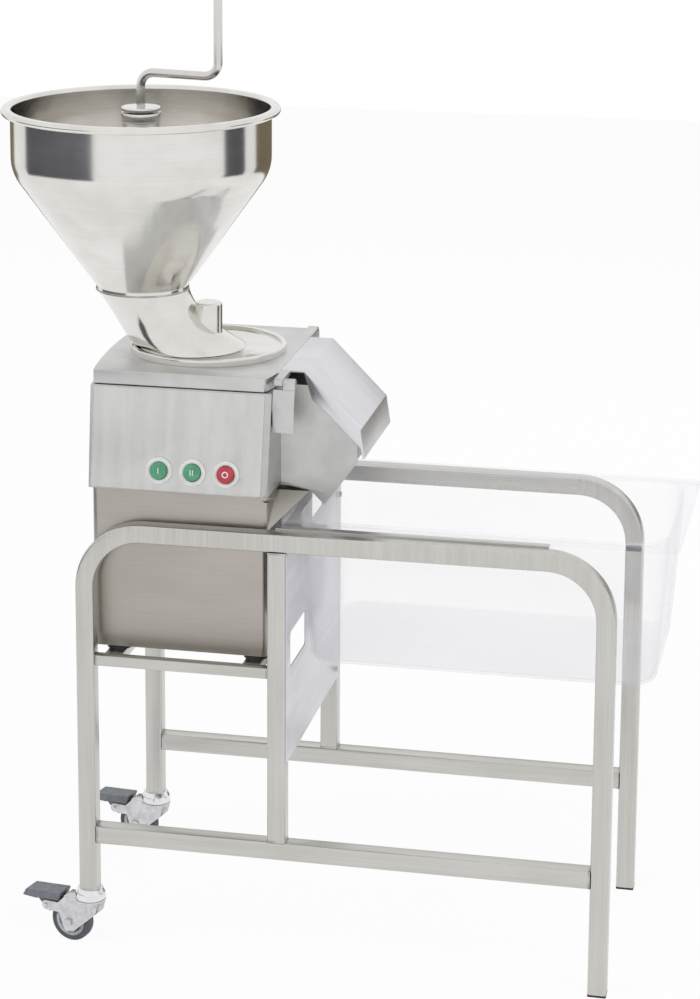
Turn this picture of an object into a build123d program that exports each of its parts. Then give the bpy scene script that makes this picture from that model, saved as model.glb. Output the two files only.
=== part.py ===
from build123d import *
from math import atan, cos, radians, sin
import os

os.makedirs("parts", exist_ok=True)

# Axes: X runs along the stand from the machine to the container, Y runs from the button side to the rear,
# Z is up. The origin is on the floor under the middle of the whole object. The sizes below are measured from the
# stand's middle plane, which lies a little in front of the origin, because the far brake pedal sticks out behind.
middle_plane_y = -8.7

# Stand
tube = 25.0
tube_wall = 1.5
frame_length = 730.0
frame_width = 380.0
frame_left = -332.0
rail_top = 615.0
bend_radius = 79.5
caster_height = 84.0
glide_height = 3.0
post_left = -66.0
lower_rail_top = 178.5
shelf_top = 425.5
shelf_tube = 15.0

# Food container, a standard 530 x 325 x 200 container
pan_length = 530.0
pan_width = 325.0
pan_depth = 204.0
pan_right = 475.5
pan_top = 625.3
pan_wall = 3.0

# Machine base
body_left = -316.0
body_right = -73.5
body_front = -156.0
body_rear = 148.0
body_bottom = 431.0
sheet = 2.0
housing_bottom = 661.0
housing_top = 797.0
housing_left = -314.0
housing_bulge = 10.5
housing_right = -68.0
housing_rear = 148.0
panel_foot_y = -179.0
panel_head_y = -150.0
casting_wall = 3.0
flange_width = 10.0

# Cutting chamber and its rotor
chamber_x = -191.0
chamber_radius = 101.0
chamber_floor = 738.0
shaft_radius = 9.0

# Discharge chute and hood
chute_half = 90.0
chute_wall = 2.5
hood_half = 96.0
hood_sheet = 3.0
hood_flat_end = -35.0
hood_drop_end = 41.5
hood_drop_foot = 739.5

# Lid and hopper
lid_bottom = 798.0
lid_top = 817.0
lid_wall = 3.0
flange_radius = 108.0
hopper_x = -284.5
hopper_radius = 178.5
rim_radius = 191.0
rim_top = 1153.0
cone_bottom = 899.0
cone_bottom_radius = 64.0
cone_top = 1065.5
crank_angle = -12.0
crank_reach = 117.0
crank_top = 1340.0

# Lid hinge and latch
hinge_y = 162.0
hinge_z = 803.0
latch_y = -141.0
latch_z = 811.0

# Buttons along the sloped panel
button_names = ("start", "fast", "stop")
button_pitch = 46.0
button_first_x = -217.0
button_height = 689.0
button_radius = 11.7
bezel_radius = 18.0

# Casters
caster_swivel = -14.0
caster_trail = 29.0
wheel_radius = 30.0
wheel_width = 18.0

# Worked out from the sizes above
frame_right = frame_left + frame_length
half_width = frame_width / 2
rail_y = half_width - tube / 2
body_depth = body_rear - body_front
body_x = (body_left + body_right) / 2
body_y = (body_front + body_rear) / 2
panel_lean = (panel_head_y - panel_foot_y) / (housing_top - housing_bottom)
side_sign = {"near": -1, "far": 1}


def save(part, name):
    """Move a finished piece from the stand's middle plane to the object's frame and write it."""
    placed = Pos(0, middle_plane_y, 0) * part
    placed.label = name
    export_step(placed, f"parts/{name}.step")


def box_between(low, high, mode=Mode.ADD):
    size = [b - a for a, b in zip(low, high)]
    centre = [(a + b) / 2 for a, b in zip(low, high)]
    with Locations(tuple(centre)):
        Box(*size, mode=mode)


def square_tube(low, high, axis, wall=tube_wall):
    """A straight square tube filling the box from low to high, open at both ends along axis."""
    inner_low = [a if i == axis else a + wall for i, a in enumerate(low)]
    inner_high = [b if i == axis else b - wall for i, b in enumerate(high)]
    with BuildPart() as bar:
        box_between(low, high)
        box_between(inner_low, inner_high, mode=Mode.SUBTRACT)
    return bar.part


def side_box(side, x_low, x_high, y_inner, y_outer, z_low, z_high):
    """Corners of a box on one side of the stand, given its distances from the middle plane."""
    y_values = sorted((side_sign[side] * y_inner, side_sign[side] * y_outer))
    return (x_low, y_values[0], z_low), (x_high, y_values[1], z_high)


# Side hoops: one square tube each, up from the caster, over two large bends and down to the glide
for side, sign in side_sign.items():
    left_axis = frame_left + tube / 2
    right_axis = frame_right - tube / 2
    with BuildPart() as hoop:
        with BuildLine(Plane.XZ.offset(-sign * rail_y)) as hoop_path:
            FilletPolyline(
                (left_axis, caster_height),
                (left_axis, rail_top - tube / 2),
                (right_axis, rail_top - tube / 2),
                (right_axis, glide_height),
                radius=bend_radius,
            )
        with BuildSketch(Plane((left_axis, sign * rail_y, caster_height))):
            Rectangle(tube, tube)
            Rectangle(tube - 2 * tube_wall, tube - 2 * tube_wall, mode=Mode.SUBTRACT)
        sweep()
    save(hoop.part, f"{side}_hoop")

# Middle posts, standing on the lower rails under the top rails
post_right = post_left + tube
for side in side_sign:
    corners = side_box(side, post_left, post_right, half_width - tube, half_width, lower_rail_top, rail_top - tube)
    save(square_tube(*corners, axis=2), f"{side}_post")

# Lower rails between the legs
inner_left = frame_left + tube
inner_right = frame_right - tube
for side in side_sign:
    low_z = lower_rail_top - tube
    corners = side_box(side, inner_left, inner_right, half_width - tube, half_width, low_z, lower_rail_top)
    save(square_tube(*corners, axis=0), f"{side}_lower_rail")

# Shelf rails under the machine, from the left legs to the middle posts
shelf_outer = half_width - 5
shelf_inner = shelf_outer - shelf_tube
for side in side_sign:
    low_z = shelf_top - shelf_tube
    corners = side_box(side, inner_left, post_left, shelf_inner, shelf_outer, low_z, shelf_top)
    save(square_tube(*corners, axis=0, wall=1.2), f"{side}_shelf_rail")

# Shelf bars across the stand, which carry the machine's rubber feet
foot_x = {"left": -284.0, "right": -92.0}
for end, bar_x in foot_x.items():
    low = (bar_x - tube / 2, -shelf_inner, shelf_top - shelf_tube)
    high = (bar_x + tube / 2, shelf_inner, shelf_top)
    save(square_tube(low, high, axis=1, wall=1.2), f"{end}_shelf_bar")

# Tie between the two middle posts, behind the divider panel
tie_low = (post_left, -(half_width - tube), 300.0)
tie_high = (post_right, half_width - tube, 325.0)
save(square_tube(tie_low, tie_high, axis=1), "post_tie")

# Divider panel between the machine and the container, with its hand slot
panel_sheet = 1.5
with BuildPart() as divider_panel:
    with BuildSketch(Plane.YZ.offset(post_right)):
        with Locations((-12.5, 440.5)):
            RectangleRounded(349.0, 295.0, 4.0)
        with Locations((-113.5, 446.5)):
            RectangleRounded(97.0, 49.0, 4.0, mode=Mode.SUBTRACT)
    extrude(amount=panel_sheet)
save(divider_panel.part, "divider_panel")

# Container runners: angle strips inside the top rails, on which the container's rim rests
runner_left = -60.0
runner_right = frame_right - tube / 2 - bend_radius
runner_seat = 617.0
runner_outer = half_width - tube
for side, sign in side_sign.items():
    with BuildPart() as runner:
        with BuildSketch(Plane.YZ.offset(runner_left)):
            with BuildLine():
                Polyline(
                    (sign * runner_outer, runner_seat - 20),
                    (sign * runner_outer, runner_seat),
                    (sign * (runner_outer - 12), runner_seat),
                    (sign * (runner_outer - 12), runner_seat - 2),
                    (sign * (runner_outer - 2), runner_seat - 2),
                    (sign * (runner_outer - 2), runner_seat - 20),
                    close=True,
                )
            make_face()
        extrude(amount=runner_right - runner_left)
    save(runner.part, f"{side}_pan_runner")

# Glides: black end caps under the right legs
for side, sign in side_sign.items():
    with BuildPart() as glide:
        with BuildSketch(Plane.XY):
            with Locations((frame_right - tube / 2, sign * rail_y)):
                RectangleRounded(tube, tube, 2.0)
        extrude(amount=glide_height)
        with BuildSketch(Plane.XY.offset(glide_height)):
            with Locations((frame_right - tube / 2, sign * rail_y)):
                Rectangle(tube - 2 * tube_wall, tube - 2 * tube_wall)
        extrude(amount=18.0)
    save(glide.part, f"{side}_glide")

# Base shell: bent sheet round the motor, with a flared corner that reaches under the chute
flare_foot = 608.0
flare_head = 650.0
flare_reach = -29.0
flare_half = 95.0
with BuildPart() as base_shell:
    with BuildSketch(Plane.XY.offset(body_bottom)):
        with Locations((body_x, body_y)):
            RectangleRounded(body_right - body_left, body_depth, 8.0)
    extrude(amount=housing_bottom - body_bottom)
    with BuildSketch(Plane.XZ.offset(-body_rear)):
        with BuildLine():
            Polyline(
                (body_right - 12, flare_foot - 11.5),
                (body_right, flare_foot),
                (flare_reach, flare_head),
                (body_right - 12, flare_head),
                close=True,
            )
        make_face()
    extrude(amount=body_depth)
    for wall_y, corner_y in ((body_front, -flare_half), (body_rear, flare_half)):
        with BuildSketch(Plane.YZ.offset(body_right)):
            with BuildLine():
                Polyline((wall_y, flare_foot), (corner_y, flare_head), (wall_y, flare_head), close=True)
            make_face()
        extrude(amount=60.0, mode=Mode.SUBTRACT)
    with BuildSketch(Plane.XY.offset(body_bottom)):
        with Locations((body_x, body_y)):
            RectangleRounded(body_right - body_left - 2 * sheet, body_depth - 2 * sheet, 6.0)
    extrude(amount=housing_bottom - body_bottom, mode=Mode.SUBTRACT)
save(base_shell.part, "base_shell")

# Base floor: the plate that closes the shell, with round air holes under the motor
with BuildPart() as base_floor:
    with BuildSketch(Plane.XY.offset(body_bottom)):
        with Locations((body_x, body_y)):
            RectangleRounded(body_right - body_left - 2 * sheet, body_depth - 2 * sheet, 6.0)
        with Locations((chamber_x, 0)):
            with PolarLocations(42.0, 8):
                Circle(7.0, mode=Mode.SUBTRACT)
    extrude(amount=sheet)
save(base_floor.part, "base_floor")

# Rubber feet between the shelf bars and the base floor
foot_y = {"near": -138.0, "far": 130.0}
for side, y in foot_y.items():
    for end, x in foot_x.items():
        with BuildPart() as foot:
            with BuildSketch(Plane.XY.offset(shelf_top)):
                with Locations((x, y)):
                    Circle(17.0)
            extrude(amount=body_bottom - shelf_top, taper=8)
        save(foot.part, f"{side}_{end}_foot")


def housing_block(inset, low_z, high_z):
    """The housing's outer form, with its bowed left wall and leaning front, drawn in by inset."""
    left = housing_left + inset
    right = housing_right - inset
    rear = housing_rear - inset
    front = panel_foot_y + inset
    with BuildPart() as block:
        with BuildSketch(Plane.XY.offset(low_z)):
            with BuildLine():
                ThreePointArc((left, front), (left - housing_bulge, 0), (left, rear))
                Line((left, rear), (right, rear))
                Line((right, rear), (right, front))
                Line((right, front), (left, front))
            make_face()
            fillet(vertices().group_by(Axis.X)[-1], radius=9.0 - inset)
        extrude(amount=high_z - low_z)
        with BuildSketch(Plane.YZ.offset(left - 2 * housing_bulge)):
            with BuildLine():
                lean_y = front + (high_z - housing_bottom) * panel_lean
                Polyline((front - 1, low_z), (front, housing_bottom), (lean_y, high_z), (front - 1, high_z), close=True)
            make_face()
        extrude(amount=right - left + 4 * housing_bulge, mode=Mode.SUBTRACT)
    return block.part


def chute_roof(x):
    """Height of the hood's outer face above a place on the chute."""
    slope = (lid_top - hood_drop_foot) / (hood_drop_end - hood_flat_end)
    return lid_top - max(0.0, x - hood_flat_end) * slope


# Plane of the leaning front, and the places of the three buttons on it
panel_angle = atan(panel_lean)
panel_plane = Plane(
    origin=(chamber_x, panel_foot_y, housing_bottom),
    x_dir=(1, 0, 0),
    z_dir=(0, -cos(panel_angle), sin(panel_angle)),
)
button_rise = (button_height - housing_bottom) / cos(panel_angle)
button_places = [(button_first_x + i * button_pitch - chamber_x, button_rise) for i in range(3)]
button_hole_radius = button_radius + 0.3

# Upper housing: one casting with the leaning front, the round cutting chamber and the discharge chute
cheek_end = hood_drop_end - hood_sheet - 1.0
outer_block = housing_block(0.0, housing_bottom, housing_top)
inner_block = housing_block(casting_wall, housing_bottom + casting_wall, housing_top - 4.0)
with BuildPart() as upper_housing:
    add(outer_block)
    add(inner_block, mode=Mode.SUBTRACT)
    box_between((housing_left + flange_width, body_front + flange_width, housing_bottom),
                (body_right - flange_width, housing_rear - flange_width, housing_bottom + casting_wall),
                mode=Mode.SUBTRACT)
    # Chamber cup and chute channel
    with BuildSketch(Plane.XY.offset(chamber_floor - 4)):
        with Locations((chamber_x, 0)):
            Circle(chamber_radius + casting_wall)
        with Locations(((chamber_x + housing_right) / 2, 0)):
            Rectangle(housing_right - chamber_x, 2 * chute_half + 2 * casting_wall)
    extrude(amount=housing_top - chamber_floor + 4)
    with BuildSketch(Plane.XY.offset(chamber_floor)):
        with Locations((chamber_x, 0)):
            Circle(chamber_radius)
        with Locations(((chamber_x + housing_right) / 2 + 5, 0)):
            Rectangle(housing_right - chamber_x + 10, 2 * chute_half)
    extrude(amount=housing_top - chamber_floor, mode=Mode.SUBTRACT)
    with BuildSketch(Plane.XY.offset(chamber_floor - 4)):
        with Locations((chamber_x, 0)):
            Circle(24.0)
    extrude(amount=4, mode=Mode.SUBTRACT)
    # Cheeks of the chute, cut to a point below and kept under the hood above
    for side, sign in side_sign.items():
        drop = 12.0 if side == "near" else 28.0
        flat_drop = lid_top - housing_top
        with BuildSketch(Plane.XZ.offset(-sign * (chute_half + chute_wall / 2))):
            with BuildLine():
                Polyline(
                    (housing_right - 1, housing_top),
                    (hood_flat_end + max(0.0, (flat_drop - drop)), housing_top),
                    (hood_flat_end + max(4.0, (flat_drop - drop)), chute_roof(hood_flat_end + 8) - drop),
                    (cheek_end, chute_roof(cheek_end) - drop),
                    (cheek_end, 694.0),
                    (3.0, 646.0),
                    (-8.0, 631.0),
                    (-27.0, 650.0),
                    (-55.0, 655.0),
                    (housing_right - 1, 655.0),
                    close=True,
                )
            make_face()
        extrude(amount=chute_wall / 2, both=True)
    # Chute floor
    with BuildSketch(Plane.XZ.offset(-chute_half)):
        with BuildLine():
            Polyline(
                (housing_right - 1, chamber_floor - 4),
                (housing_right - 1, chamber_floor),
                (housing_right, chamber_floor),
                (-18.0, 668.0),
                (-21.0, 666.0),
                (housing_right, chamber_floor - 5),
                close=True,
            )
        make_face()
    extrude(amount=2 * chute_half)
    # Holes in the leaning front, which the buttons move into
    with BuildSketch(panel_plane):
        with Locations(*button_places):
            Circle(button_hole_radius)
    extrude(amount=-2 * casting_wall, mode=Mode.SUBTRACT)
save(upper_housing.part, "upper_housing")

# Control panel: the plate on the leaning front, bored for the three buttons
panel_thickness = 1.5
panel_rise = (housing_top - housing_bottom) / cos(panel_angle)
panel_left = housing_left + 2 - chamber_x
panel_right = housing_right - 9 - chamber_x
with BuildPart() as control_panel:
    with BuildSketch(panel_plane):
        with Locations(((panel_left + panel_right) / 2, panel_rise / 2)):
            RectangleRounded(panel_right - panel_left, panel_rise - 4, 3.0)
        with Locations(*button_places):
            Circle(button_hole_radius, mode=Mode.SUBTRACT)
    extrude(amount=panel_thickness)
save(control_panel.part, "control_panel")

# Bezels and push buttons
for name, place in zip(button_names, button_places):
    with BuildPart() as bezel:
        with BuildSketch(panel_plane.offset(panel_thickness)):
            with Locations(place):
                Circle(bezel_radius)
                Circle(button_hole_radius, mode=Mode.SUBTRACT)
        extrude(amount=2.0)
        chamfer(bezel.edges().filter_by(GeomType.CIRCLE).sort_by(SortBy.RADIUS)[-1], length=0.8)
    save(bezel.part, f"{name}_bezel")
    with BuildPart() as button:
        with BuildSketch(panel_plane.offset(0.2)):
            with Locations(place):
                Circle(button_radius)
        extrude(amount=panel_thickness + 5.8)
        fillet(button.faces().sort_by(Axis.Y)[0].edges(), radius=1.2)
    save(button.part, f"{name}_button")

# Motor inside the base, with its end bells, and the flange that carries it under the chamber
motor_radius = 74.0
motor_foot = 462.0
motor_head = 700.0
with BuildPart() as motor:
    with BuildSketch(Plane.XZ):
        with BuildLine():
            Polyline(
                (chamber_x, motor_foot),
                (chamber_x + 56, motor_foot),
                (chamber_x + 66, motor_foot + 12),
                (chamber_x + 66, motor_foot + 40),
                (chamber_x + motor_radius, motor_foot + 46),
                (chamber_x + motor_radius, motor_head - 34),
                (chamber_x + 62, motor_head - 14),
                (chamber_x + 40, motor_head),
                (chamber_x, motor_head),
                close=True,
            )
        make_face()
    revolve(axis=Axis((chamber_x, 0, 0), (0, 0, 1)))
save(motor.part, "motor")

with BuildPart() as motor_flange:
    with BuildSketch(Plane.XY.offset(motor_head)):
        with Locations((chamber_x, 0)):
            Circle(46.0)
            Circle(shaft_radius + 3, mode=Mode.SUBTRACT)
    extrude(amount=chamber_floor - 4 - motor_head)
    with BuildSketch(Plane.XY.offset(chamber_floor - 4)):
        with Locations((chamber_x, 0)):
            Circle(24.0)
            Circle(shaft_radius + 3, mode=Mode.SUBTRACT)
    extrude(amount=6.0)
save(motor_flange.part, "motor_flange")

# Rotor: drive shaft, ejector with its vanes, slicing disc with three curved blade slots, lock cap
with BuildPart() as drive_shaft:
    with BuildSketch(Plane.XY.offset(motor_head + 0.5)):
        with Locations((chamber_x, 0)):
            Circle(shaft_radius)
    extrude(amount=46.0)
    with BuildSketch(Plane.XY.offset(motor_head + 46.5)):
        with Locations((chamber_x, 0)):
            RegularPolygon(shaft_radius, 6)
    extrude(amount=46.0)
save(drive_shaft.part, "drive_shaft")

ejector_bottom = 746.8
disc_bottom = 782.0
disc_radius = 96.0
with BuildPart() as ejector_disc:
    with BuildSketch(Plane.XY.offset(ejector_bottom)):
        with Locations((chamber_x, 0)):
            Circle(disc_radius)
    extrude(amount=3.0)
    with BuildSketch(Plane.XY.offset(ejector_bottom + 3)):
        with Locations((chamber_x, 0)):
            Circle(20.0)
            with PolarLocations(53.0, 3):
                Rectangle(78.0, 5.0)
    extrude(amount=12.0)
    with BuildSketch(Plane.XY.offset(ejector_bottom + 15)):
        with Locations((chamber_x, 0)):
            Circle(20.0)
    extrude(amount=disc_bottom - ejector_bottom - 15)
    with BuildSketch(Plane.XY.offset(ejector_bottom)):
        with Locations((chamber_x, 0)):
            Circle(shaft_radius + 0.05)
    extrude(amount=disc_bottom - ejector_bottom, mode=Mode.SUBTRACT)
save(ejector_disc.part, "ejector_disc")

with BuildPart() as blade:
    with BuildSketch(Plane.YZ.offset(23.0)):
        with BuildLine():
            Polyline((4.0, 2.5), (11.0, 2.5), (11.0, 3.4), (-2.0, 5.4), (-3.0, 5.0), close=True)
        make_face()
    extrude(amount=66.0)

with BuildPart() as slicing_disc:
    with BuildSketch(Plane.XY.offset(disc_bottom)):
        with Locations((chamber_x, 0)):
            Circle(disc_radius)
            Circle(shaft_radius + 0.05, mode=Mode.SUBTRACT)
            with PolarLocations(56.0, 3):
                SlotOverall(66.0, 10.0, mode=Mode.SUBTRACT)
    extrude(amount=3.0)
    with Locations((chamber_x, 0, disc_bottom)):
        with PolarLocations(0.0, 3):
            add(blade.part)
save(slicing_disc.part, "slicing_disc")

with BuildPart() as disc_cap:
    with BuildSketch(Plane.XY.offset(disc_bottom + 3)):
        with Locations((chamber_x, 0)):
            Circle(16.0)
    extrude(amount=20.0)
    fillet(disc_cap.faces().sort_by(Axis.Z)[-1].edges(), radius=4.0)
    with BuildSketch(Plane.XY.offset(disc_bottom + 3)):
        with Locations((chamber_x, 0)):
            Circle(shaft_radius + 0.05)
    extrude(amount=9.0, mode=Mode.SUBTRACT)
save(disc_cap.part, "disc_cap")


def lid_block(inset, low_z, high_z):
    """The lid's outer form, bowed on the left like the housing, with its stepped corner before the hood."""
    left = housing_left + inset
    right = housing_right - inset
    front = panel_head_y + 2 + inset
    rear = housing_rear - inset
    with BuildPart() as block:
        with BuildSketch(Plane.XY.offset(low_z)):
            with BuildLine():
                ThreePointArc((left, front), (left - housing_bulge, 0), (left, rear))
                Polyline(
                    (left, rear),
                    (right, rear),
                    (right, -108.0 + inset),
                    (right - 7, front + 5),
                    (right - 12, front),
                    (left, front),
                )
            make_face()
        extrude(amount=high_z - low_z)
    return block.part


# Lid plate: a shallow tray turned downwards, open under the feed flange, with hinge lugs and the latch arm
lug_places = (-300.0, -84.0)
lug_width = 14.0
pin_radius = 4.0
latch_arm_left = -66.0
latch_arm_width = 12.0
latch_pin_radius = 2.5
lid_outer = lid_block(0.0, lid_bottom, lid_top)
lid_inner = lid_block(lid_wall, lid_bottom, lid_top - lid_wall)
with BuildPart() as lid_plate:
    add(lid_outer)
    add(lid_inner, mode=Mode.SUBTRACT)
    with BuildSketch(Plane.XY.offset(lid_top - lid_wall)):
        with Locations((chamber_x, 0)):
            Circle(chamber_radius - 3)
    extrude(amount=lid_wall, mode=Mode.SUBTRACT)
    # Way out to the hood, between the hood's cheeks
    box_between((housing_right - lid_wall, -chute_half, lid_bottom), (housing_right, chute_half, lid_top - lid_wall),
                mode=Mode.SUBTRACT)
    # Hinge lugs at the rear
    for x in lug_places:
        with BuildSketch(Plane.YZ.offset(x)):
            with BuildLine():
                Polyline(
                    (housing_rear - 1, lid_top),
                    (hinge_y, lid_top),
                    (hinge_y + 8, hinge_z + 6),
                    (hinge_y + 8, hinge_z - 8),
                    (hinge_y - 8, hinge_z - 8),
                    (housing_rear - 1, hinge_z - 5),
                    close=True,
                )
            make_face()
            with Locations((hinge_y, hinge_z)):
                Circle(pin_radius + 0.05, mode=Mode.SUBTRACT)
        extrude(amount=lug_width)
    # Latch arm at the front right, rooted on the lid's edge
    box_between((housing_right - 6, -hood_half - 14, lid_top - 5), (latch_arm_left + latch_arm_width, -hood_half, lid_top))
    with BuildSketch(Plane.YZ.offset(latch_arm_left)):
        with Locations((latch_y, latch_z)):
            Circle(6.0)
        with BuildLine():
            Polyline(
                (latch_y, latch_z - 6),
                (latch_y, latch_z + 6),
                (-hood_half - 12, lid_top),
                (-hood_half, lid_top),
                (-hood_half, lid_top - 5),
                close=True,
            )
        make_face()
        with Locations((latch_y, latch_z)):
            Circle(latch_pin_radius + 0.05, mode=Mode.SUBTRACT)
    extrude(amount=latch_arm_width)
save(lid_plate.part, "lid_plate")

# Discharge hood: folded sheet that carries the lid on over the chute and ends in a steep plate
with BuildPart() as discharge_hood:
    with BuildSketch(Plane.XZ.offset(-hood_half)):
        with BuildLine():
            Polyline(
                (housing_right, lid_top),
                (hood_flat_end, lid_top),
                (hood_drop_end, hood_drop_foot),
                (hood_drop_end + 6, 700.0),
            )
            offset(amount=hood_sheet, side=Side.RIGHT)
        make_face()
    extrude(amount=2 * hood_half)
    for sign in side_sign.values():
        with BuildSketch(Plane.XZ.offset(-sign * (hood_half - hood_sheet / 2))):
            with BuildLine():
                Polyline(
                    (hood_flat_end - 1, lid_top - hood_sheet),
                    (hood_flat_end + 10, 778.0),
                    (0.0, 756.0),
                    (hood_drop_end, 714.0),
                    (hood_drop_end + 3, 700.0),
                    (hood_drop_end + 5, 700.0),
                    (hood_drop_end - 1, hood_drop_foot - 1),
                    (hood_flat_end, lid_top - 1),
                    close=True,
                )
            make_face()
        extrude(amount=hood_sheet / 2, both=True)
save(discharge_hood.part, "discharge_hood")

# Feed flange: the round plate on the lid with its raised ring, bored where the feed tube stands
tube_foot_z = lid_top + 4
feed_wall = 2.5
feed_sections = [(tube_foot_z, -215.0, 76.0), (840.0, -240.0, 68.0), (862.0, -260.5, 62.0), (cone_bottom, hopper_x, 64.0)]


def feed_passage(inset):
    """The feed tube's form, flared and leaning from the hopper's neck down to the flange, drawn in by inset."""
    with BuildPart() as passage:
        for z, x, radius in feed_sections:
            with BuildSketch(Plane.XY.offset(z)):
                with Locations((x, 0)):
                    Circle(radius - inset)
        loft()
    return passage.part


tube_outside = feed_passage(0.0)
tube_inside = feed_passage(feed_wall)
foot_x_middle, foot_radius = feed_sections[0][1:]
with BuildPart() as feed_flange:
    with BuildSketch(Plane.XY.offset(lid_top)):
        with Locations((chamber_x, 0)):
            Circle(flange_radius)
        with Locations((foot_x_middle, 0)):
            Circle(foot_radius - feed_wall, mode=Mode.SUBTRACT)
    extrude(amount=tube_foot_z - lid_top)
    with BuildSketch(Plane.XY.offset(tube_foot_z)):
        with Locations((chamber_x, 0)):
            Circle(flange_radius)
            Circle(flange_radius - 7, mode=Mode.SUBTRACT)
    extrude(amount=5.0)
    ring_edges = feed_flange.edges().filter_by(GeomType.CIRCLE).group_by(Axis.Z)[-1]
    chamfer(ring_edges, length=1.0)
    add(tube_outside, mode=Mode.SUBTRACT)
save(feed_flange.part, "feed_flange")

# Feed tube: the leaning tube under the hopper, with the short upright tower over the rotor
tower_radius = 19.0
tower_top = 883.0
with BuildPart() as feed_tube:
    with BuildSketch(Plane.XY.offset(tube_foot_z)):
        with Locations((chamber_x, 0)):
            Circle(tower_radius)
    extrude(amount=tower_top - tube_foot_z)
    chamfer(feed_tube.faces().sort_by(Axis.Z)[-1].edges(), length=2.0)
    add(tube_outside)
    add(tube_inside, mode=Mode.SUBTRACT)
save(feed_tube.part, "feed_tube")

# Hopper: spun bowl with a rolled rim, and below its weld a cone with the neck band that meets the feed tube
hopper_wall = 2.0
rim_bead = 10.0
neck_top = cone_bottom + 6
bowl_turn = 58.0
bowl_bottom = 1030.0
hopper_axis = Axis((hopper_x, 0, 0), (0, 0, 1))
wall_x = hopper_x + hopper_radius - hopper_wall / 2
neck_x = hopper_x + cone_bottom_radius - hopper_wall / 2
with BuildPart() as hopper_form:
    with BuildSketch(Plane.XZ):
        with BuildLine():
            FilletPolyline(
                (neck_x, cone_bottom),
                (neck_x, neck_top),
                (wall_x, cone_top),
                (wall_x, rim_top - rim_bead / 2),
                radius=[3.0, bowl_turn],
            )
        trace(line_width=hopper_wall)
    revolve(axis=hopper_axis)

hopper_box = Pos(hopper_x, 0, bowl_bottom) * Box(
    3 * hopper_radius, 3 * hopper_radius, rim_top - bowl_bottom, align=(Align.CENTER, Align.CENTER, Align.MIN)
)
with BuildPart() as hopper_bowl:
    add(hopper_form.part)
    add(hopper_box, mode=Mode.INTERSECT)
    with BuildSketch(Plane.XZ):
        with Locations((hopper_x + (hopper_radius - hopper_wall + rim_radius) / 2, rim_top - rim_bead / 2)):
            RectangleRounded(rim_radius - hopper_radius + hopper_wall, rim_bead, 4.5)
    revolve(axis=hopper_axis)
save(hopper_bowl.part, "hopper_bowl")

with BuildPart() as hopper_cone:
    add(hopper_form.part)
    add(hopper_box, mode=Mode.SUBTRACT)
save(hopper_cone.part, "hopper_cone")

# Agitator column: the bearing tube in the middle of the hopper, on three arms that reach the cone
column_radius = 25.5
column_bottom = 912.0
column_top = 1131.0
collar_top = 1144.0
rod_radius = 6.0
inner_cone = revolve(
    Plane.XZ * make_face(
        Polyline(
            (hopper_x, neck_top),
            (hopper_x + cone_bottom_radius - hopper_wall - 0.4, neck_top),
            (hopper_x + hopper_radius - hopper_wall - 0.4, cone_top),
            (hopper_x, cone_top),
            close=True,
        )
    ),
    axis=hopper_axis,
)
with BuildPart() as agitator_column:
    with BuildSketch(Plane.XY.offset(column_bottom + 6)):
        with Locations((hopper_x, 0)):
            with PolarLocations(60.0, 3, start_angle=90):
                Rectangle(80.0, 5.0)
    extrude(amount=16.0)
    add(inner_cone, mode=Mode.INTERSECT)
    with BuildSketch(Plane.XY.offset(column_bottom)):
        with Locations((hopper_x, 0)):
            Circle(column_radius)
    extrude(amount=column_top - column_bottom)
    with BuildSketch(Plane.XY.offset(column_top)):
        with Locations((hopper_x, 0)):
            Circle(column_radius + 1.5)
    extrude(amount=collar_top - column_top)
    with BuildSketch(Plane.XY.offset(column_bottom)):
        with Locations((hopper_x, 0)):
            Circle(rod_radius + 0.05)
    extrude(amount=collar_top - column_bottom, mode=Mode.SUBTRACT)
save(agitator_column.part, "agitator_column")

# Agitator: the crank rod with its stirring bar below, and the cap that turns with it
crank_bend = 20.0
crank_level = 1199.0
paddle_z = 900.0
stirring_length = 96.0
crank_plane = Plane(
    origin=(hopper_x, 0, 0),
    x_dir=(cos(radians(crank_angle)), sin(radians(crank_angle)), 0),
    z_dir=(sin(radians(crank_angle)), -cos(radians(crank_angle)), 0),
)
with BuildPart() as agitator_rod:
    with BuildLine(crank_plane):
        FilletPolyline(
            (0, paddle_z),
            (0, crank_level),
            (crank_reach, crank_level),
            (crank_reach, crank_top - rod_radius),
            radius=crank_bend,
        )
    with BuildSketch(Plane((hopper_x, 0, paddle_z))):
        Circle(rod_radius)
    sweep()
    tip_x = hopper_x + crank_reach * cos(radians(crank_angle))
    tip_y = crank_reach * sin(radians(crank_angle))
    with Locations((tip_x, tip_y, crank_top - rod_radius)):
        Sphere(rod_radius)
    with BuildSketch(Plane((hopper_x, 0, paddle_z - 6))):
        SlotOverall(stirring_length, 14.0, rotation=crank_angle)
    extrude(amount=8.0)
save(agitator_rod.part, "agitator_rod")

with BuildPart() as agitator_cap:
    with BuildSketch(Plane((hopper_x, 0, collar_top + 2))):
        Circle(column_radius + 1.5)
        Circle(rod_radius, mode=Mode.SUBTRACT)
    extrude(amount=5.5)
    chamfer(agitator_cap.faces().sort_by(Axis.Z)[-1].edges().sort_by(SortBy.RADIUS)[-1], length=1.5)
save(agitator_cap.part, "agitator_cap")

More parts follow.
